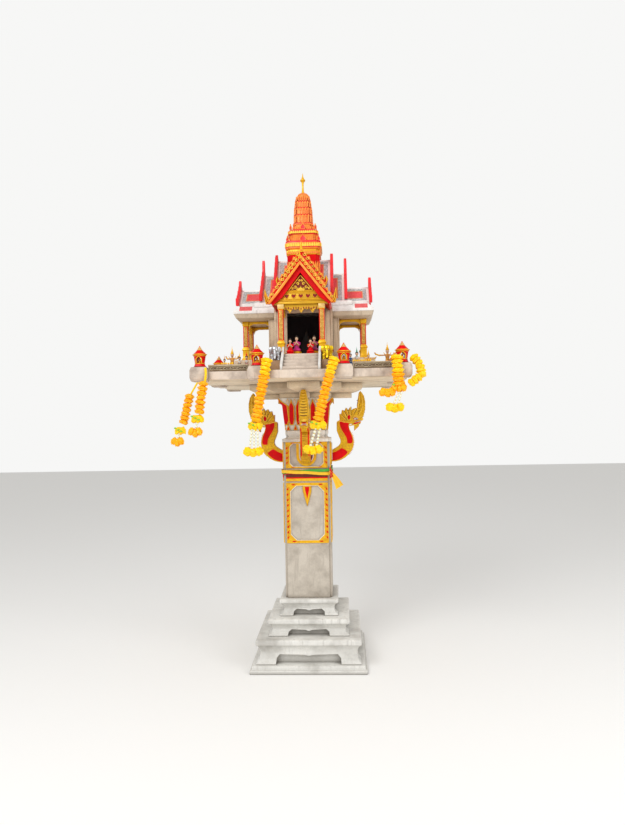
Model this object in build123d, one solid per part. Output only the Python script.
from build123d import *
from math import cos, hypot, pi, sin
import os

os.makedirs("parts", exist_ok=True)

# Spirit house on its pedestal. Millimetres, +Z up, the front faces -Y, and the
# origin is the centre of the base where it meets the floor.

# Base and its lion-foot tiers
plinth_width = 777
plinth_lip = 14
plinth_lower = 26
plinth_upper = 24
foot1_width = 703
foot1_rise = 162.5
slab1 = 40
foot2_width = 550
foot2_rise = 114.5
slab2 = 36
foot3_width = 402
foot3_rise = 114
slab3 = 31
foot_pad = 134
small_pad = 92
bullnose = 7
waist = 30
foot_recess = 55
recess_share = 0.5

# Shaft: its frames and bands are stacked on each face and settle its height
shaft_reach = 161
shaft_notch = 16.5
shaft_clear = 57
frame_thick = 6
frame_bar = 31
naga_frame_rise = 180
band_rise = 78
band_gap = 12
long_frame_rise = 735
coil_width = 140
coil_bar = 25
coil_thick = 12
coil_clear = 13

# White moulding and lotus capital
cornice_rise = 80
core_foot = 140
core_waist = 152
core_neck = 158
core_top = 184
capital_rise = 225
petal_thick = 7
petal_pitch = 49.5
petal_width = 40
petal_foot = 38
petal_top = 6
bract_rise = 42

# Brackets that spread from the capital to the platform
bracket1_reach = 322
bracket1_rise = 36
bracket2_reach = 396
bracket2_rise = 42
bracket_sweep = 27
bracket_notch = 145

# Nagas
naga_width = 60
naga_tip_width = 26

# Platform, its lantern posts and its parapets
deck_half = 655
deck_thick = 51
boss_half = 320
boss_proud = 30
post_width = 110
post_drop = 10
post_rise = 29
post_bulge = 8
post_round = 22
middle_post_at = 270
parapet_rise = 43
parapet_thick = 26
parapet_inset = 8
coping = 9

# Lanterns
lantern_rise = 134
lantern_half = 41
lantern_neck = 30
lantern_shoulder = 44
lantern_arch = 17

# Hall
floor_rise = 114
floor_reach = 488
floor_arm = 180
floor_core = 300
floor_lip = 24
hall_reach = 240
hall_arm = 197
hall_wall = 35
hall_rise = 356
door_width = 225
door_rise = 305

# Stair, which ends just past the platform's edge
stair_width = 221
stair_overhang = 5
stair_steps = 5
cheek_thick = 16
cheek_foot = 34
cheek_top = 50

# Porch columns and the beams between them; drops are below the wall head
column_side = 34
front_column_x = 133
front_column_y = 450
side_column_x = 411
side_column_y = 133
pedestal_rise = 73
pedestal_side = 54
front_column_drop = 29
side_column_drop = 85
beam_thick = 22
beam_rise = 18
beam_arch = 34
sill_rise = 17
lintel_rise = 67
valance_rise = 39
pendant = 20

# Roofs: reach from the centre, half width at the eave, rise above the wall head
skirt_reach = 481
skirt_half = 240
skirt_edge = 20
skirt_rise = 35
skirt_soffit = 44
skirt_drop = 24
low_reach = 455
low_kink = 125
low_kink_rise = 41
low_ridge_rise = 164
low_tip_rise = 236
mid_reach = 283
mid_kink = 188
mid_kink_rise = 34
mid_ridge_rise = 266
mid_tip_rise = 379
mid_skirt_reach = 336
mid_skirt_half = 215
top_reach = 187
top_kink = 200
top_kink_rise = 61
top_ridge_rise = 369
top_tip_rise = 416
porch_reach = 488
porch_ridge_rise = 238
porch_kink = 145
porch_kink_rise = 48
porch_end = 196
porch_end_rise = -21
porch_thick = 66
porch_tip_rise = 309
upper_reach = 310
upper_ridge_rise = 329
upper_end = 150
upper_end_rise = 134
upper_tip_rise = 424
roof_sag = 5
board_thick = 22
tooth = 15

# Tower over the crossing
tower_foot_rise = 154
tower_half = 114
tower_wall = 229
tower_row = 37
petal_row_half = 126
frieze_half = 94
cornice_half = 105
neck_half = 73
cob_half = 64
cap_half = 44
cap_rise = 40
spire_half = 9
spire_rise = 88
crown_half = 20
crown_rise = 57
antefix_rise = 52

# Figures and offerings
servant_rise = 112
elephant_rise = 96
plaque_width = 92
plaque_rise = 250
garland_half = 38
garland_clear = 0.3

# Heights that stack up from the floor
z_foot1 = plinth_lower + plinth_upper
z_foot2 = z_foot1 + foot1_rise
z_foot3 = z_foot2 + foot2_rise
z_shaft = z_foot3 + foot3_rise
z_long = z_shaft + shaft_clear
z_band = z_long + long_frame_rise + band_gap
z_naga_frame = z_band + band_rise + band_gap
z_cornice = z_naga_frame + naga_frame_rise
z_capital = z_cornice + cornice_rise
z_bracket = z_capital + capital_rise
z_sweep = z_bracket + bracket1_rise
z_bracket2 = z_sweep + bracket_sweep
z_deck_under = z_bracket2 + bracket2_rise
z_deck = z_deck_under + deck_thick
z_post = z_deck + post_rise
z_parapet = z_deck + parapet_rise
z_floor = z_deck + floor_rise
z_head = z_floor + hall_rise
z_front_column = z_head - front_column_drop
z_side_column = z_head - side_column_drop
boss_reach = deck_half + boss_proud
stair_front = deck_half + stair_overhang


def outline(points):
    """Edges through (reach, z) points; a third value bows the run that ends there."""
    edges = []
    for (r0, z0, *_), (r1, z1, *bow) in zip(points, points[1:]):
        if bow:
            edges.append(SagittaArc((r0, z0), (r1, z1), bow[0]))
        else:
            edges.append(Line((r0, z0), (r1, z1)))
    return edges


def half_face(points, inset=0):
    """Face between the outline, set in by inset, and the centre line."""
    pts = [(p[0] - inset, *p[1:]) for p in points]
    low, high = pts[0][1], pts[-1][1]
    edges = outline(pts)
    edges += [
        Line((pts[-1][0], high), (0, high)),
        Line((0, high), (0, low)),
        Line((0, low), (pts[0][0], low)),
    ]
    return make_face(edges)


def both_sides(half):
    """Face and its mirror image about the centre line."""
    return half + mirror(half, Plane.YZ)


def bank(points, inset=0, run=None):
    """Prism along Y whose cross-section is the outline on both sides of the axis."""
    face = half_face(points, inset)
    run = run or max(p[0] for p in points) + 20
    right = extrude(Plane.XZ * face, run, both=True)
    return right + mirror(right, Plane.YZ)


def moulding(points, notches=((0, 0),)):
    """Moulding round a square plan, mitred at its corners, stepped by the notches."""
    solid = None
    for nx, ny in notches:
        arm = bank(points, nx) & Rot(0, 0, 90) * bank(points, ny)
        solid = arm if solid is None else solid + arm
    return solid


def prism(face, y0, y1):
    """Face drawn as (x, z), extruded from y0 to y1."""
    return Pos(0, y0, 0) * extrude(Plane.XZ * face, -(y1 - y0))


def block(x0, x1, y0, y1, z0, z1):
    centre = Pos((x0 + x1) / 2, (y0 + y1) / 2, (z0 + z1) / 2)
    return centre * Box(x1 - x0, y1 - y0, z1 - z0)


def ring(x, y, z, half_x, half_y, sides):
    """Corners of a level many-sided ring about a point, with a flat side in front."""
    turns = [2 * pi * (i + 0.5) / sides for i in range(sides)]
    return [Vector(x + half_x * sin(t), y + half_y * cos(t), z) for t in turns]


def flat_faces(a, b, c, d):
    """One face through four points, or two where they don't lie in one plane."""
    out_of_plane = (b - a).cross(c - a).dot(d - a)
    if abs(out_of_plane) < 1e-6:
        return [Face(Wire.make_polygon([a, b, c, d]))]
    return [Face(Wire.make_polygon([a, b, c])), Face(Wire.make_polygon([a, c, d]))]


def turned(levels, sides=6):
    """Many-sided solid through level rings of (z, half width, half depth, x, y)."""
    rings = []
    for z, half_x, *rest in levels:
        half_y = rest[0] if rest else half_x
        x, y = rest[1:3] if len(rest) > 2 else (0, 0)
        rings.append(ring(x, y, z, half_x, half_y, sides))
    skin = [Face(Wire.make_polygon(rings[0])), Face(Wire.make_polygon(rings[-1]))]
    for low, high in zip(rings, rings[1:]):
        for i in range(sides):
            after = (i + 1) % sides
            skin += flat_faces(low[i], low[after], high[after], high[i])
    return Solid(Shell(skin))


def quarters(solid):
    return [Rot(0, 0, a) * solid for a in (0, 90, 180, 270)]


def front_and_back(solid):
    return [solid, Rot(0, 0, 180) * solid]


def at_corners(x, y):
    return [(sx * x, sy * y) for sx in (-1, 1) for sy in (-1, 1)]


def all_solids(shapes):
    return [s for shape in shapes for s in shape.solids()]


def save(name, *shapes):
    solids = all_solids(shapes)
    whole = solids[0] if len(solids) == 1 else Compound(children=solids)
    whole.label = name
    export_step(whole, f"parts/{name}.step")


# Base plinth: two low steps under the lion feet
plinth_half = plinth_width / 2
plinth_line = [
    (plinth_half, 0),
    (plinth_half, plinth_lower),
    (plinth_half - plinth_lip, plinth_lower),
    (plinth_half - plinth_lip, z_foot1),
]
save("base_plinth", moulding(plinth_line))


def lion_tier(width, z0, rise, slab, pad):
    """Tier on lion feet: flared toes, a drawn-in waist and a rounded slab on top."""
    half, z1 = width / 2, z0 + rise
    under = z1 - slab
    tall = under - z0
    tier = moulding(
        [
            (half - 2, z0),
            (half - 2, z0 + 8),
            (half - waist * 0.75, z0 + tall * 0.25),
            (half - waist, z0 + tall * 0.55),
            (half - waist * 0.75, z0 + tall * 0.85),
            (half - 12, under),
            (half - bullnose, under),
            (half, under + bullnose),
            (half, z1 - bullnose),
            (half - bullnose, z1),
        ]
    )
    gap = half - pad
    crown = z0 + tall * recess_share
    curl = 24
    side = make_face(
        Polyline(
            (0, z0),
            (gap, z0),
            (gap - 4, z0 + (crown - z0) * 0.6),
            (gap - curl, crown),
            (curl, crown - 4),
            (0, crown - 12),
            close=True,
        )
    )
    recess = prism(both_sides(side), -half - 5, -half + foot_recess)
    for q in quarters(recess):
        tier -= q
    return tier


save("lower_foot_tier", lion_tier(foot1_width, z_foot1, foot1_rise, slab1, foot_pad))
save("upper_foot_tier", lion_tier(foot2_width, z_foot2, foot2_rise, slab2, foot_pad))
save("shaft_foot_tier", lion_tier(foot3_width, z_foot3, foot3_rise, slab3, small_pad))

# Shaft with stepped corners
shaft_steps = ((0, shaft_notch), (shaft_notch, 0))
shaft_arm = shaft_reach - shaft_notch
save("shaft", moulding([(shaft_reach, z_shaft), (shaft_reach, z_cornice)], shaft_steps))


def face_frame(z0, rise, corner):
    """Flat frame on each face of the shaft, with cut corners to its opening."""
    centre = Pos(0, z0 + rise / 2)
    hole = Rectangle(2 * (shaft_arm - frame_bar), rise - 2 * corner / 1.8)
    hole = chamfer(hole.vertices(), corner)
    frame = centre * Rectangle(2 * shaft_arm, rise) - centre * hole
    return quarters(prism(frame, -shaft_reach - frame_thick, -shaft_reach))


# Gilded frames, one long and one short on each face, with a banded strip between
save("naga_frames", *face_frame(z_naga_frame, naga_frame_rise, 22))
save("long_frames", *face_frame(z_long, long_frame_rise, 40))
strip = block(
    -shaft_arm,
    shaft_arm,
    -shaft_reach - frame_thick,
    -shaft_reach,
    z_band,
    z_band + band_rise,
)
save("shaft_bands", *quarters(strip))

# Coil of each naga's tail, a U on the short panel that its body comes out of
coil_half = coil_width / 2
coil_low = z_naga_frame + coil_clear
coil_top = z_cornice - coil_clear
coil_centre = coil_low + coil_half


def rounded(half):
    """Face with an eight-part round foot and a straight top, half wide on each side."""
    turns = [pi * i / 8 for i in range(9)]
    foot = [(half * cos(t), coil_centre - half * sin(t)) for t in turns]
    return make_face(Polyline(*foot, (-half, coil_top), (half, coil_top), close=True))


coil = rounded(coil_half) - rounded(coil_half - coil_bar)
coil_plate = prism(coil, -shaft_reach - coil_thick, -shaft_reach)

# White moulding under the lotus
cornice_line = [
    (shaft_reach + 6, z_cornice),
    (shaft_reach + 8, z_cornice + 4),
    (shaft_reach + 8, z_cornice + 22),
    (shaft_reach - 12, z_cornice + 26),
    (shaft_reach - 21, z_cornice + 38),
    (shaft_reach - 16, z_cornice + 50),
    (shaft_reach - 14, z_cornice + 54),
    (shaft_reach - 14, z_capital),
]
save("shaft_cornice", moulding(cornice_line, shaft_steps))

# Lotus capital: a flaring core with a ring of petals that wraps its corners
core_line = [
    (core_foot, z_capital),
    (core_waist, z_capital + 105),
    (core_neck, z_capital + 172),
    (core_top, z_bracket),
]
save("lotus_core", moulding(core_line))
petal_line = [(p[0] + petal_thick, p[1]) for p in core_line]
shell = moulding(petal_line) - moulding(core_line)


def petal(width, foot, tip, shoulder):
    """Front outline of a petal: narrow foot, straight flanks and an ogee point."""
    half = width / 2
    side = make_face(
        Polyline(
            (0, foot),
            (half * 0.6, foot),
            (half, foot + 34),
            (half, shoulder),
            (half * 0.4, shoulder + (tip - shoulder) * 0.5),
            (0, tip),
            close=True,
        )
    )
    return both_sides(side)


far = core_top + petal_thick + 5
petal_base = z_capital + petal_foot
plain_petal = petal(petal_width, petal_base, z_bracket - petal_top, z_bracket - 58)
wide_petal = petal(petal_width * 1.35, petal_base, z_bracket - 1, z_bracket - 50)
reds = None
for i in range(-2, 3):
    red = Pos(i * petal_pitch, 0, 0) * prism(plain_petal, -far, -core_foot / 2)
    reds = red if reds is None else reds + red
corner_petal = shell & Rot(0, 0, 45) * prism(wide_petal, -2 * far, -core_foot)
save("lotus_petals", *quarters(shell & reds), *quarters(corner_petal))

# Small bracts that close the gaps at the petals' feet
bract_half = petal_width * 0.36
bract = make_face(
    Polyline(
        (-bract_half, z_capital + 2),
        (bract_half, z_capital + 2),
        (0, z_capital + bract_rise),
        close=True,
    )
)
bracts = None
for i in range(-3, 3):
    leaf = Pos((i + 0.5) * petal_pitch, 0, 0) * prism(bract, -far, -core_foot / 2)
    bracts = leaf if bracts is None else bracts + leaf
bract_ring = (shell & bracts) - reds
for q in quarters(corner_petal):
    bract_ring -= q
save("lotus_bracts", *quarters(bract_ring))

# Brackets: two stepped tiers with a swept course between, wider towards the deck
bracket_steps = (
    (0, 2 * bracket_notch),
    (bracket_notch, bracket_notch),
    (2 * bracket_notch, 0),
)
lower_line = [(bracket1_reach, z_bracket), (bracket1_reach, z_sweep)]
save("bracket_lower", moulding(lower_line, bracket_steps))
upper_line = [
    (bracket1_reach + 6, z_sweep),
    (bracket1_reach + 36, z_sweep + bracket_sweep * 0.35),
    (bracket2_reach, z_bracket2),
    (bracket2_reach, z_deck_under),
]
save("bracket_upper", moulding(upper_line, bracket_steps))


def bowed(start, end, bow, runs):
    """Points of a shallow curve as straight runs, bowed to the left, without its end."""
    (x0, z0), (x1, z1) = start, end
    length = hypot(x1 - x0, z1 - z0)
    left_x, left_z = (z0 - z1) / length, (x1 - x0) / length
    points = []
    for i in range(runs):
        t = i / runs
        out = 4 * bow * t * (1 - t)
        points.append((x0 + (x1 - x0) * t + left_x * out, z0 + (z1 - z0) * t + left_z * out))
    return points


def naga_at(reach, rise):
    """Point of a naga's side outline, from the shaft's face and the shaft's head."""
    return (shaft_reach + reach, z_cornice + rise)


# Naga: out of the panel, round and up to a head that looks away from the shaft
root_high, root_low = naga_at(0, -73), naga_at(0, -146)
belly_low, belly_out, chest = naga_at(137, -94), naga_at(171, -4), naga_at(144, 77)
throat, chin_in, chin_tip = naga_at(132, 100), naga_at(174, 105), naga_at(174, 69)
chin_out, jaw, snout = naga_at(209, 101), naga_at(212, 123), naga_at(221, 144)
brow, crest_out, crest_tip = naga_at(240, 169), naga_at(256, 274), naga_at(225, 353)
crest_back, crest_low = naga_at(212, 341), naga_at(196, 246)
crown = [naga_at(201, 234), naga_at(165, 225), naga_at(159, 214), naga_at(151, 244)]
mane = [naga_at(134, 218), naga_at(118, 236), naga_at(104, 207), naga_at(90, 221)]
mane += [naga_at(82, 186), naga_at(70, 194), naga_at(72, 147), naga_at(50, 129)]
nape, neck, back = naga_at(50, 71), naga_at(66, 27), naga_at(47, -45)
outline_points = [root_high, *bowed(root_low, belly_low, -18, 4)]
outline_points += [*bowed(belly_low, belly_out, -9, 3), *bowed(belly_out, chest, -5, 2)]
outline_points += [chest, *bowed(throat, chin_in, 18, 3), chin_in, chin_tip, chin_out]
outline_points += [jaw, snout, *bowed(brow, crest_out, -7, 2)]
outline_points += [*bowed(crest_out, crest_tip, -8, 2), crest_tip, crest_back, crest_low]
outline_points += [*crown, *mane, nape, *bowed(neck, back, 19, 5), back]
body = make_face(Polyline(*outline_points, close=True))

# Seen from in front, its crest narrows towards the tip
naga_half, tip_half = naga_width / 2, naga_tip_width / 2
front_half = make_face(
    Polyline(
        (0, root_low[1] - 5),
        (naga_half, root_low[1] - 5),
        (naga_half, crest_low[1]),
        (tip_half, crest_tip[1] + 5),
        (0, crest_tip[1] + 5),
        close=True,
    )
)
width_gauge = extrude(Plane.YZ * both_sides(front_half), crest_out[0] + 20)
naga = prism(body, -naga_half, naga_half) & width_gauge
naga_turns = (("right", 0), ("back", 90), ("left", 180), ("front", 270))
for name, angle in naga_turns:
    save(f"naga_{name}", Rot(0, 0, angle) * naga)
save("naga_coils", *quarters(coil_plate - Rot(0, 0, 270) * naga))

# Platform slab with a broad boss in the middle of each side
deck = block(-deck_half, deck_half, -deck_half, deck_half, z_deck_under, z_deck)
boss = block(-boss_half, boss_half, -boss_reach, 0, z_deck_under, z_deck)
for q in quarters(boss):
    deck += q
post_half = post_width / 2
post_foot = z_deck_under - post_drop
corner_at = boss_reach - post_half


def post(x, y):
    """Block with slightly swollen sides, as a lantern's stand."""
    line = [
        (post_half - post_bulge, post_foot),
        (post_half, post_foot + post_round),
        (post_half, z_post - post_round),
        (post_half - post_bulge, z_post),
    ]
    return Pos(x, y, 0) * moulding(line)


corner_places = at_corners(corner_at, corner_at)
middle_places = at_corners(middle_post_at, corner_at)
side_places = [(sx * corner_at, 0) for sx in (-1, 1)]
posts = [post(x, y) for x, y in corner_places + middle_places + side_places]
for p in posts:
    deck -= p
save("platform_slab", deck)
save("lantern_posts", *posts)


def parapet(length):
    """Low wall with a foot and a coping, centred on the origin along X."""
    t = parapet_thick / 2
    line = [
        (t, z_deck),
        (t, z_deck + coping),
        (t - 4, z_deck + coping),
        (t - 4, z_parapet - coping),
        (t, z_parapet - coping),
        (t, z_parapet),
    ]
    half = extrude(Plane.YZ * half_face(line), length / 2, both=True)
    return half + mirror(half, Plane.XZ)


parapet_at = deck_half - parapet_inset - parapet_thick / 2
run_front = corner_at - middle_post_at - post_width
run_side = corner_at - post_width
front_mid = (corner_at + middle_post_at) / 2
side_mid = corner_at / 2
front_bay, side_bay = parapet(run_front), parapet(run_side)
back_bay = parapet(2 * middle_post_at - post_width)
save("parapet_front", *[Pos(s * front_mid, -parapet_at, 0) * front_bay for s in (-1, 1)])
save(
    "parapet_back",
    *[Pos(s * front_mid, parapet_at, 0) * front_bay for s in (-1, 1)],
    Pos(0, parapet_at, 0) * back_bay,
)
for name, side in (("left", -1), ("right", 1)):
    bays = [
        Pos(side * parapet_at, s * side_mid, 0) * Rot(0, 0, 90) * side_bay
        for s in (-1, 1)
    ]
    save(f"parapet_{name}", *bays)

# Floor of the hall: a stepped cross that also carries the porch columns
floor_line = [
    (floor_reach + 12, z_deck),
    (floor_reach + 12, z_deck + floor_lip),
    (floor_reach, z_deck + floor_lip),
    (floor_reach - 12, z_deck + floor_rise / 2),
    (floor_reach, z_floor - floor_lip),
    (floor_reach, z_floor),
]
arm_inset = floor_reach - floor_arm
core_inset = floor_reach - floor_core
floor_steps = ((0, arm_inset), (core_inset, core_inset), (arm_inset, 0))
hall_floor = moulding(floor_line, floor_steps)
stair_half = stair_width / 2
cheek_out = stair_half + cheek_thick
hall_floor -= block(
    -cheek_out, cheek_out, -floor_reach - 20, -floor_reach, z_deck, z_floor
)
save("hall_floor", hall_floor)

# Stair of five treads between two sloping cheeks
tread = (stair_front - floor_reach) / stair_steps
riser = floor_rise / stair_steps
stair_points = [(-floor_reach, z_deck), (-stair_front, z_deck)]
for i in range(stair_steps):
    nosing = z_deck + (i + 1) * riser
    stair_points += [
        (-stair_front + i * tread, nosing),
        (-stair_front + (i + 1) * tread, nosing),
    ]
stair_face = make_face(Polyline(*stair_points, close=True))
save("stair", extrude(Plane.YZ * stair_face, stair_half, both=True))
cheek_face = make_face(
    Polyline(
        (-floor_reach, z_deck),
        (-stair_front, z_deck),
        (-stair_front, z_deck + cheek_foot),
        (-floor_reach, z_floor + cheek_top),
        close=True,
    )
)
cheek = extrude(Plane.YZ * cheek_face, cheek_thick)
save(
    "stair_cheeks",
    Pos(stair_half, 0, 0) * cheek,
    Pos(-stair_half - cheek_thick, 0, 0) * cheek,
)

# Hall walls: a closed cross-shaped cell with one doorway, in front
wall_steps = ((0, hall_reach - hall_arm), (hall_reach - hall_arm, 0))
outside = moulding([(hall_reach, z_floor), (hall_reach, z_head)], wall_steps)
inner_reach = hall_reach - hall_wall
inside = moulding([(inner_reach, z_floor), (inner_reach, z_head)], wall_steps)
door_half = door_width / 2
door = block(
    -door_half,
    door_half,
    -hall_reach - 5,
    -inner_reach + 5,
    z_floor,
    z_floor + door_rise,
)
save("hall_walls", outside - inside - door)


def column(x, y, top):
    """Square shaft on a pedestal with a ring at its foot and a block capital."""
    s, p = column_side / 2, pedestal_side / 2
    z1 = z_floor + pedestal_rise
    line = [
        (p, z_floor),
        (p, z_floor + 12),
        (p - 6, z_floor + 16),
        (p - 6, z1 - 6),
        (p, z1),
        (s, z1 + 20),
        (s, top - 34),
        (s + 4, top - 28),
        (s + 4, top),
    ]
    return Pos(x, y, 0) * moulding(line)


door_columns = at_corners(front_column_x, front_column_y)
side_columns = at_corners(side_column_x, side_column_y)
save("porch_columns_front", *[column(x, y, z_front_column) for x, y in door_columns])
save("porch_columns_side", *[column(x, y, z_side_column) for x, y in side_columns])


def arched_beam(span, top):
    """Beam centred on the origin along X, with a hollowed bracket at each end."""
    half, under = span / 2, top - beam_rise
    side = make_face(
        Polyline(
            (0, top),
            (half, top),
            (half, under - beam_arch),
            (half - beam_arch * 0.3, under - beam_arch * 0.3),
            (half - beam_arch, under),
            (0, under),
            close=True,
        )
    )
    return prism(both_sides(side), -beam_thick / 2, beam_thick / 2)


# Beams of the side porches: two back to the wall and one across the outer columns
back_span = side_column_x - column_side / 2 - 4 - hall_reach
back_beam = arched_beam(back_span, z_side_column)
back_mid = (side_column_x - column_side / 2 - 4 + hall_reach) / 2
cross_span = 2 * side_column_y - column_side - 8
cross_beam = Rot(0, 0, 90) * arched_beam(cross_span, z_side_column)
side_beams = [Pos(x, y, 0) * back_beam for x, y in at_corners(back_mid, side_column_y)]
side_beams += [Pos(s * side_column_x, 0, 0) * cross_beam for s in (-1, 1)]
save("side_porch_beams", *side_beams)

# Beams of the front and back porches, from the columns back to the wall
porch_span = front_column_y - column_side / 2 - 4 - hall_reach
porch_mid = (front_column_y - column_side / 2 - 4 + hall_reach) / 2
porch_beam = Rot(0, 0, 90) * arched_beam(porch_span, z_front_column)
porch_beams = [
    Pos(x, y, 0) * porch_beam for x, y in at_corners(front_column_x, porch_mid)
]
save("porch_beams", *porch_beams)


def gable(ridge, kink, kink_z, low_z):
    """Cross-section of a steep roof, (across, z), hollowed a little down each slope."""
    half = make_face(
        [
            SagittaArc((0, ridge), (kink, kink_z), -roof_sag),
            Line((kink, kink_z), (kink, low_z)),
            Line((kink, low_z), (0, low_z)),
            Line((0, low_z), (0, ridge)),
        ]
    )
    return both_sides(half)


def along_x(face, reach):
    """Gable face swept along X on both sides of the axis."""
    return Rot(0, 0, 90) * prism(face, -reach, reach)


def oblong(points, half_x, half_y):
    """Moulding round an oblong plan; points give each reach as a set-back."""
    run = half_x + 50
    ends = bank([(half_x - p[0], *p[1:]) for p in points], 0, run)
    sides = bank([(half_y - p[0], *p[1:]) for p in points], 0, run)
    return ends & Rot(0, 0, 90) * sides


# Side roofs: an eave skirt, a low gable, a middle gable and a top gable
z_skirt = z_head - skirt_drop
z_low_kink, z_low_ridge = z_head + low_kink_rise, z_head + low_ridge_rise
z_mid_kink, z_mid_ridge = z_head + mid_kink_rise, z_head + mid_ridge_rise
z_top_kink, z_top_ridge = z_head + top_kink_rise, z_head + top_ridge_rise
z_upper_end, z_upper_ridge = z_head + upper_end_rise, z_head + upper_ridge_rise
skirt_line = [
    (skirt_soffit, z_side_column),
    (skirt_soffit * 0.35, z_side_column + 14),
    (3, z_skirt - skirt_edge),
    (0, z_skirt - skirt_edge),
    (0, z_skirt),
    (36, z_skirt + skirt_rise),
]
skirt = oblong(skirt_line, skirt_reach, skirt_half) - outside
low = along_x(gable(z_low_ridge, low_kink, z_low_kink, z_skirt + skirt_rise), low_reach)
mid_line = [
    (8, z_head),
    (0, z_head + 4),
    (0, z_mid_kink - 4),
    (26, z_mid_kink + 10),
]
mid = along_x(gable(z_mid_ridge, mid_kink, z_mid_kink, z_head), mid_reach)
mid += oblong(mid_line, mid_skirt_reach, mid_skirt_half)
top = along_x(gable(z_top_ridge, top_kink, z_top_kink, z_mid_kink), top_reach)

# Front and back roofs: a thin one over the porch and a higher one behind it
z_porch_ridge, z_porch_kink = z_head + porch_ridge_rise, z_head + porch_kink_rise
z_porch_end = z_head + porch_end_rise
under_kink = porch_kink - 24
porch_half = make_face(
    [
        SagittaArc((0, z_porch_ridge), (porch_kink, z_porch_kink), -roof_sag),
        Line((porch_kink, z_porch_kink), (porch_end, z_porch_end)),
        Line((porch_end, z_porch_end), (porch_end - 12, z_porch_end - 16)),
        Line((porch_end - 12, z_porch_end - 16), (under_kink, z_porch_kink - 36)),
        Line((under_kink, z_porch_kink - 36), (0, z_porch_ridge - porch_thick)),
        Line((0, z_porch_ridge - porch_thick), (0, z_porch_ridge)),
    ]
)
porch_roof = prism(both_sides(porch_half), -porch_reach, porch_reach)
upper_face = gable(z_upper_ridge, upper_end, z_upper_end, z_mid_kink)
crown_roof = top + prism(upper_face, -upper_reach, upper_reach)
low = low - mid - crown_roof
skirt = skirt - mid - low
mid = mid - crown_roof
porch_roof = porch_roof - mid - crown_roof - low - skirt - outside
z_tower = z_head + tower_foot_rise
tower_well = block(-tower_half, tower_half, -tower_half, tower_half, z_tower, z_tower + 400)
for x, y in door_columns:
    porch_roof -= column(x, y, z_front_column)
for beam in porch_beams:
    porch_roof -= beam
save("roof_skirt", skirt)
save("roof_low", low)
save("roof_middle", mid)
save("roof_top", crown_roof - tower_well)
save("roof_porches", porch_roof)


def toothed(start, end, count):
    """Points of a slope's outer edge, cut into leaves that lean up the slope."""
    (x0, z0), (x1, z1) = start, end
    run = hypot(x1 - x0, z1 - z0)
    down_x, down_z = (x1 - x0) / run, (z1 - z0) / run
    step = run / count
    points = []
    for i in range(count):
        foot, point = i * step, (i + 0.1) * step
        points.append((x0 + down_x * foot, z0 + down_z * foot))
        points.append(
            (
                x0 + down_x * point - down_z * tooth,
                z0 + down_z * point + down_x * tooth,
            )
        )
    return points + [end]


def gable_board(ridge, kink, kink_z, tip, teeth, drop=24):
    """Upright board over a gable's end: spike, toothed slopes and upturned ends."""
    shoulder = (9, ridge + 22)
    eave = (kink + 12, kink_z + 22)
    points = [(0, tip)] + toothed(shoulder, eave, teeth)
    points += [
        (kink + 36, kink_z + 40),
        (kink + 26, kink_z - 12),
        (kink, kink_z - 12),
        (0, ridge - drop),
    ]
    return both_sides(make_face(Polyline(*points, close=True)))


# Boards over the ends of the side gables
board_cut = mid + crown_roof + low + skirt
side_boards = (
    ("low", z_low_ridge, low_kink, z_low_kink, low_tip_rise, low_reach, 3),
    ("middle", z_mid_ridge, mid_kink, z_mid_kink + 24, mid_tip_rise, mid_reach, 5),
    ("top", z_top_ridge, top_kink - 10, z_top_kink + 40, top_tip_rise, top_reach, 6),
)
for name, ridge, kink, kink_z, tip_rise, reach, teeth in side_boards:
    face = gable_board(ridge, kink, kink_z, z_head + tip_rise, teeth)
    board = Rot(0, 0, 90) * prism(face, -reach - board_thick, -reach)
    boards = [b - board_cut for b in front_and_back(board)]
    save(f"end_boards_{name}", *boards)

# Gilded boards over the front and back gables: the porch's and the one behind
inner_apex = z_porch_ridge - 20
porch_points = [(0, z_head + porch_tip_rise), (6, z_porch_ridge + 34)]
porch_points += toothed((13, z_porch_ridge + 14), (porch_kink + 13, z_porch_kink + 16), 6)
porch_points += toothed(
    (porch_kink + 15, z_porch_kink + 12), (porch_end + 10, z_porch_end + 16), 2
)
porch_points += [
    (porch_end + 20, z_porch_end + 50),
    (porch_end + 34, z_porch_end + 88),
    (porch_end + 38, z_porch_end + 40),
    (porch_end + 28, z_porch_end - 10),
    (porch_end + 2, z_porch_end - 12),
    (porch_kink - 2, z_porch_kink - 16),
    (0, inner_apex),
]
porch_board = prism(
    both_sides(make_face(Polyline(*porch_points, close=True))),
    -porch_reach - board_thick,
    -porch_reach,
)
upper_points = [(0, z_head + upper_tip_rise)]
upper_points += toothed((12, z_upper_ridge + 18), (upper_end, z_upper_end + 24), 5)
upper_points += [
    (upper_end + 12, z_upper_end + 52),
    (upper_end + 26, z_upper_end + 24),
    (upper_end + 12, z_upper_end - 18),
    (upper_end, z_upper_end - 18),
    (0, z_upper_ridge - 24),
]
upper_board = prism(
    both_sides(make_face(Polyline(*upper_points, close=True))),
    -upper_reach - board_thick,
    -upper_reach,
)
upper_board -= porch_roof
save("bargeboards", *front_and_back(porch_board), *front_and_back(upper_board))

# Over the doorway: a long sill on the columns, a lintel, and the gable's wall
z_lintel = z_front_column + sill_rise
z_gable_wall = z_lintel + lintel_rise
z_under = z_porch_kink - 36
run_out = (porch_end - 12 - under_kink) / (z_under - z_porch_end + 16)


def under_at(z):
    """Half width of the space under the porch roof at a height."""
    if z < z_under:
        return under_kink + (z_under - z) * run_out
    return under_kink * (1 - (z - z_under) / (z_porch_ridge - porch_thick - z_under))


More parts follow.
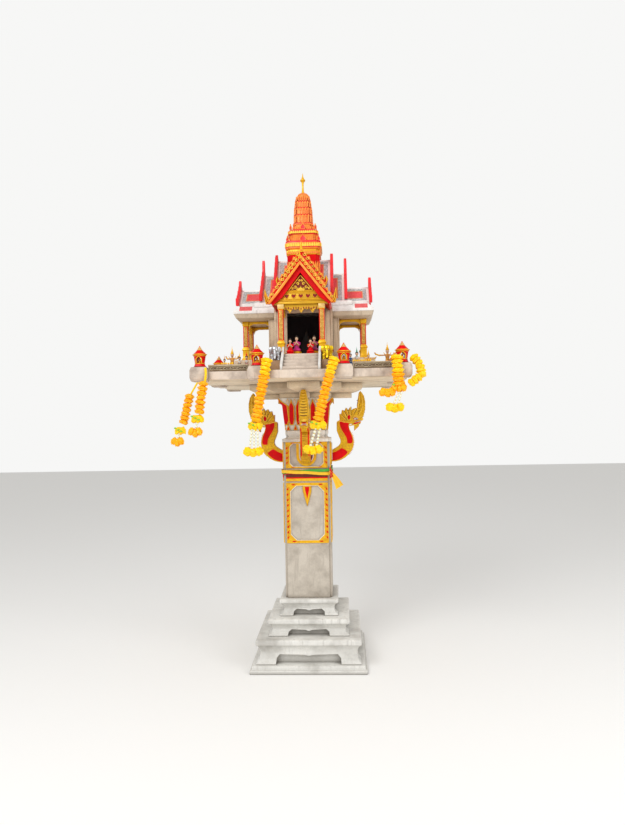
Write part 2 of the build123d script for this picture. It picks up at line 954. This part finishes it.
def wall_face(low, high):
    """Part of the porch's end under its roof, between two heights."""
    points = [(0, low), (under_at(low), low)]
    if low < z_under < high:
        points.append((under_kink, z_under))
    points += [(under_at(high), high), (0, high)]
    return both_sides(make_face(Polyline(*points, close=True)))


sill = prism(wall_face(z_front_column, z_lintel), -front_column_y - 22, 20 - front_column_y)
lintel = prism(wall_face(z_lintel, z_gable_wall), -front_column_y - 18, 14 - front_column_y)
tympanum = prism(
    wall_face(z_gable_wall, z_porch_ridge - porch_thick - 4),
    -front_column_y - 10,
    14 - front_column_y,
)
save("porch_sills", *front_and_back(sill))
save("porch_lintels", *front_and_back(lintel))
save("porch_pediments", *front_and_back(tympanum))

# Fretted valance under the sill: scallops and three pendants
valance_half = front_column_x - column_side / 2 - 4
z_fret = z_front_column - valance_rise
pitch = valance_half / 3
fret = [(0, z_front_column), (0, z_fret - pendant), (10, z_fret)]
fret += [(pitch * 0.55, z_fret + 10), (pitch, z_fret + 4), (pitch * 1.45, z_fret + 10)]
fret += [(pitch * 2 - 10, z_fret), (pitch * 2, z_fret - pendant), (pitch * 2 + 10, z_fret)]
fret += [(pitch * 2.6, z_fret + 10), (valance_half, z_fret + 2)]
fret += [(valance_half, z_front_column)]
valance = prism(
    both_sides(make_face(Polyline(*fret, close=True))),
    -front_column_y - 8,
    -front_column_y + 4,
)
save("valances", *front_and_back(valance))

# Tower over the crossing, in stepped tiers that end in a ribbed cob
tower_steps = ((0, 24), (12, 12), (24, 0))
z_row = z_tower + tower_wall
z_petal_row = z_row + tower_row
base_line = [
    (tower_half, z_tower),
    (tower_half, z_row),
    (tower_half + 3, z_row),
    (tower_half + 3, z_petal_row),
]
save("tower_base", moulding(base_line, tower_steps))
cornice_points = [
    (tower_half + 3, z_petal_row),
    (petal_row_half, z_petal_row + 8),
    (petal_row_half, z_petal_row + 31),
    (petal_row_half - 3, z_petal_row + 62),
    (frieze_half, z_petal_row + 62),
    (frieze_half, z_petal_row + 82),
    (frieze_half + 4, z_petal_row + 111),
    (cornice_half, z_petal_row + 115),
    (cornice_half, z_petal_row + 137),
    (cornice_half - 9, z_petal_row + 149),
    (neck_half, z_petal_row + 155),
    (neck_half, z_petal_row + 185),
]
save("tower_cornice", moulding(cornice_points, tower_steps))
z_cob = z_petal_row + 185
cob_points = [
    (cob_half + 7, z_cob),
    (cob_half + 7, z_cob + 18),
    (cob_half, z_cob + 22),
    (cob_half - 2, z_cob + 74),
    (cob_half + 1, z_cob + 78),
    (cob_half - 2, z_cob + 82),
    (cob_half - 5, z_cob + 124),
    (cob_half - 3, z_cob + 128),
    (cob_half - 6, z_cob + 132),
    (cob_half - 12, z_cob + 172),
    (cob_half - 10, z_cob + 176),
    (cob_half - 12, z_cob + 180),
    (cap_half, z_cob + 212),
]
save("tower_cob", moulding(cob_points, ((0, 18), (18, 0))))
z_cap = z_cob + 212
cap_levels = [
    (z_cap, cap_half),
    (z_cap + cap_rise * 0.3, cap_half * 0.91),
    (z_cap + cap_rise * 0.65, cap_half * 0.66),
    (z_cap + cap_rise, spire_half + 1),
]
save("tower_cap", turned(cap_levels, 12))
z_spire = z_cap + cap_rise
z_crown = z_spire + spire_rise
finial_levels = [
    (z_spire, spire_half),
    (z_crown - 14, spire_half - 1),
    (z_crown, crown_half),
    (z_crown + 8, crown_half),
    (z_crown + 26, crown_half * 0.45),
    (z_crown + crown_rise, 2),
]
save("tower_finial", turned(finial_levels, 8))


def antefix(half, rise):
    """Upright leaf on a tier's edge, drawn as (x, z) from its foot."""
    side = make_face(
        Polyline(
            (0, 0),
            (half * 0.8, 0),
            (half, rise * 0.35),
            (half * 0.35, rise * 0.7),
            (0, rise),
            close=True,
        )
    )
    return prism(both_sides(side), -4, 4)


# Leaves that stand on the tower's two ledges, mid-side and at the corners
antefixes = []
ledges = (
    (z_petal_row + 62, petal_row_half - 14, 24),
    (z_petal_row + 149, cornice_half - 14, 19),
)
for z, reach, half in ledges:
    middle = Pos(0, -reach, z) * antefix(half, antefix_rise)
    corner = Rot(0, 0, 45) * (
        Pos(0, -(reach - 4) * 2**0.5, z) * antefix(half * 0.6, antefix_rise * 0.8)
    )
    antefixes += quarters(middle - moulding(cornice_points, tower_steps))
    antefixes += quarters(corner - moulding(cornice_points, tower_steps))
save("tower_antefixes", *antefixes)


def lantern(x, y, turn):
    """Six-sided lamp: foot, body with an arch through it, eaves and pointed roof."""
    levels = [
        (z_post, lantern_half),
        (z_post + 22, lantern_neck),
        (z_post + 70, lantern_neck + 8),
        (z_post + 80, lantern_shoulder),
        (z_post + 108, 17),
        (z_post + lantern_rise, 2),
    ]
    arch = Polyline(
        (-lantern_arch, z_post + 27),
        (lantern_arch, z_post + 27),
        (lantern_arch, z_post + 52),
        (0, z_post + 68),
        (-lantern_arch, z_post + 52),
        close=True,
    )
    lamp = turned(levels) - prism(make_face(arch), -60, 60)
    return Pos(x, y, 0) * Rot(0, 0, turn) * lamp


lanterns = [lantern(x, y, 0) for x, y in corner_places + middle_places]
lanterns += [lantern(x, y, 90) for x, y in side_places]
save("lanterns", *lanterns)


def figure(levels, hand_z, hand_y):
    """Small cast figure: a many-sided body with its palms joined in front."""
    body = turned(levels)
    palms = turned([(hand_z, 8, 7, 0, hand_y), (hand_z + 16, 3, 4, 0, hand_y)], 4)
    return body + palms


# Servants that kneel in the porch, two on each side of the way in
kneeling = [
    (0, 27, 30),
    (18, 28, 30),
    (32, 18, 20),
    (60, 18, 12),
    (74, 15, 10),
    (79, 6, 6),
    (90, 12, 13),
    (servant_rise, 4, 5),
]
servant = figure(kneeling, 52, -15)
servant_places = ((-76, -450), (-38, -384), (56, -450), (78, -386))
save("servants", *[Pos(x, y, z_floor) * servant for x, y in servant_places])

# Elephants on brown blocks beside the stair
block_at, block_half, block_front = 182, 54, 572
block_top = z_deck + 69
plinths = [
    block(x - block_half, x + block_half, -block_front, -floor_reach - 12, z_deck, block_top)
    for x in (-block_at, block_at)
]
save("elephant_blocks", *plinths)
trunk_rise = elephant_rise * 0.72
elephant = turned([(24, 24, 26), (42, 31, 34), (66, 29, 32), (82, 16, 22)])
elephant += turned([(44, 14, 12, 0, -30), (66, 20, 16, 0, -28), (88, 15, 13, 0, -26)])
elephant += turned([(86, 12, 12, 0, -26), (elephant_rise, 5, 5, 0, -24)])
elephant += turned([(0, 7, 6, 0, -46), (30, 7, 6, 0, -46), (trunk_rise, 10, 8, 0, -38)], 4)
for x, y in at_corners(16, 17):
    elephant += turned([(0, 11, 11, x, y), (34, 11, 11, x, y)], 4)
ear = make_face(Polyline((12, 84), (33, 80), (35, 58), (27, 46), (14, 56), close=True))
elephant += prism(both_sides(ear), -28, -21)
elephant_y = -(block_front + floor_reach + 12) / 2 + 14
elephants = [Pos(s * 163, elephant_y, block_top) * elephant for s in (-1, 1)]
save("elephants", *elephants)


def dancer(x, y, rise, base, reach):
    """Figure in a tall pointed crown, its arms held out by reach to each side."""
    levels = [
        (0, rise * base),
        (rise * 0.08, rise * base),
        (rise * 0.34, rise * 0.085),
        (rise * 0.55, rise * 0.11, rise * 0.07),
        (rise * 0.59, rise * 0.04),
        (rise * 0.7, rise * 0.06),
        (rise, 1.5),
    ]
    body = turned(levels)
    for side, span in zip((-1, 1), reach):
        arm = Pos(side * span / 2, 0, rise * 0.52) * Rot(0, -side * 12, 0)
        body += arm * Box(span, rise * 0.05, rise * 0.06)
    return Pos(x, y, z_deck) * body


# Dancers and attendants that stand behind the front parapets
dancers = [
    dancer(545, -540, 172, 0.15, (74, 48)),
    dancer(425, -548, 128, 0.22, (24, 44)),
    dancer(352, -560, 150, 0.12, (16, 16)),
    dancer(312, -548, 138, 0.12, (16, 16)),
    dancer(-440, -545, 168, 0.15, (34, 34)),
    dancer(-392, -556, 132, 0.13, (16, 16)),
    dancer(-348, -548, 140, 0.12, (16, 16)),
    dancer(-488, -556, 116, 0.16, (16, 16)),
]
save("dancers", *dancers)

# Leaf-shaped plaque at the back of the cell, on its own foot
plaque_half = plaque_width / 2
leaf_side = make_face(
    Polyline(
        (0, z_floor + 30),
        (plaque_half * 0.55, z_floor + 30),
        (plaque_half, z_floor + 95),
        (plaque_half * 0.85, z_floor + 140),
        (plaque_half * 0.3, z_floor + 200),
        (0, z_floor + plaque_rise),
        close=True,
    )
)
plaque = prism(both_sides(leaf_side), 92, 104)
plaque += block(-40, 40, 78, 118, z_floor, z_floor + 30)
save("inner_plaque", plaque)


def strand(points, half=garland_half):
    """Stiff string of packed flower heads through the points of its route."""
    return turned([(z, half, half, x, y) for x, y, z in points])


def bunch(x, y, z, half, rise=26):
    """Flat bunch of heads at the end of a string."""
    levels = [(z - rise, half * 0.5, 18, x, y), (z, half, 30, x, y)]
    return turned(levels + [(z + rise * 0.7, half * 0.5, 18, x, y)])


def ribbon(start, end):
    """Narrow band that a string hangs by, or a tassel of small buds."""
    (x0, y0, z0), (x1, y1, z1) = start, end
    return turned([(z1, 7, 6, x1, y1), (z0, 7, 6, x0, y0)], 4)


hang = boss_reach + garland_half * cos(pi / 6) + garland_clear
solid_ground = deck
for p in posts + lanterns:
    solid_ground += p

# Garlands that hang over the platform's edge, from left to right
garlands = [
    strand([(-272, -hang, 1662), (-240, -hang, 1830), (-206, -hang, 1990), (-200, -704, 2046)])
    + ribbon((-262, -hang, 1670), (-270, -hang, 1488))
    + ribbon((-282, -hang, 1670), (-300, -hang, 1488))
    + bunch(-276, -hang, 1634, 48)
    + bunch(-290, -hang, 1478, 68),
    strand([(106, -hang, 1662), (150, -hang, 1830), (196, -hang, 1985), (214, -704, 2044)])
    + ribbon((96, -hang, 1670), (72, -hang, 1496))
    + ribbon((116, -hang, 1670), (90, -hang, 1496))
    + bunch(108, -hang, 1634, 54)
    + bunch(74, -hang, 1486, 66),
    strand([(-620, -hang, 1716), (-606, -hang, 1820), (-588, -hang, 1912)], 34)
    + ribbon((-584, -boss_reach - 2, 1996), (-588, -hang + 20, 1900))
    + bunch(-630, -hang, 1683, 40)
    + bunch(-646, -hang, 1608, 46)
    + ribbon((-622, -hang, 1726), (-644, -hang, 1610)),
    strand([(-776, -490, 1654), (-752, -490, 1750), (-728, -490, 1846)], 34)
    + ribbon((-658, -490, z_deck - 4), (-728, -490, 1836))
    + bunch(-795, -490, 1612, 38)
    + bunch(-815, -490, 1545, 46)
    + ribbon((-784, -490, 1660), (-814, -490, 1550)),
    strand([(596, -hang, 1862), (592, -hang, 1960), (590, -706, 2048)])
    + bunch(600, -hang, 1850, 50)
    + bunch(530, -hang, 1824, 54)
    + ribbon((598, -hang, 1850), (584, -hang, 1735))
    + bunch(574, -hang, 1732, 62)
    + strand([(664, -hang - 6, 1870), (738, -716, 1925), (730, -680, 1990), (690, -650, 2046)], 34),
]
save("garlands", *[g - solid_ground for g in garlands])
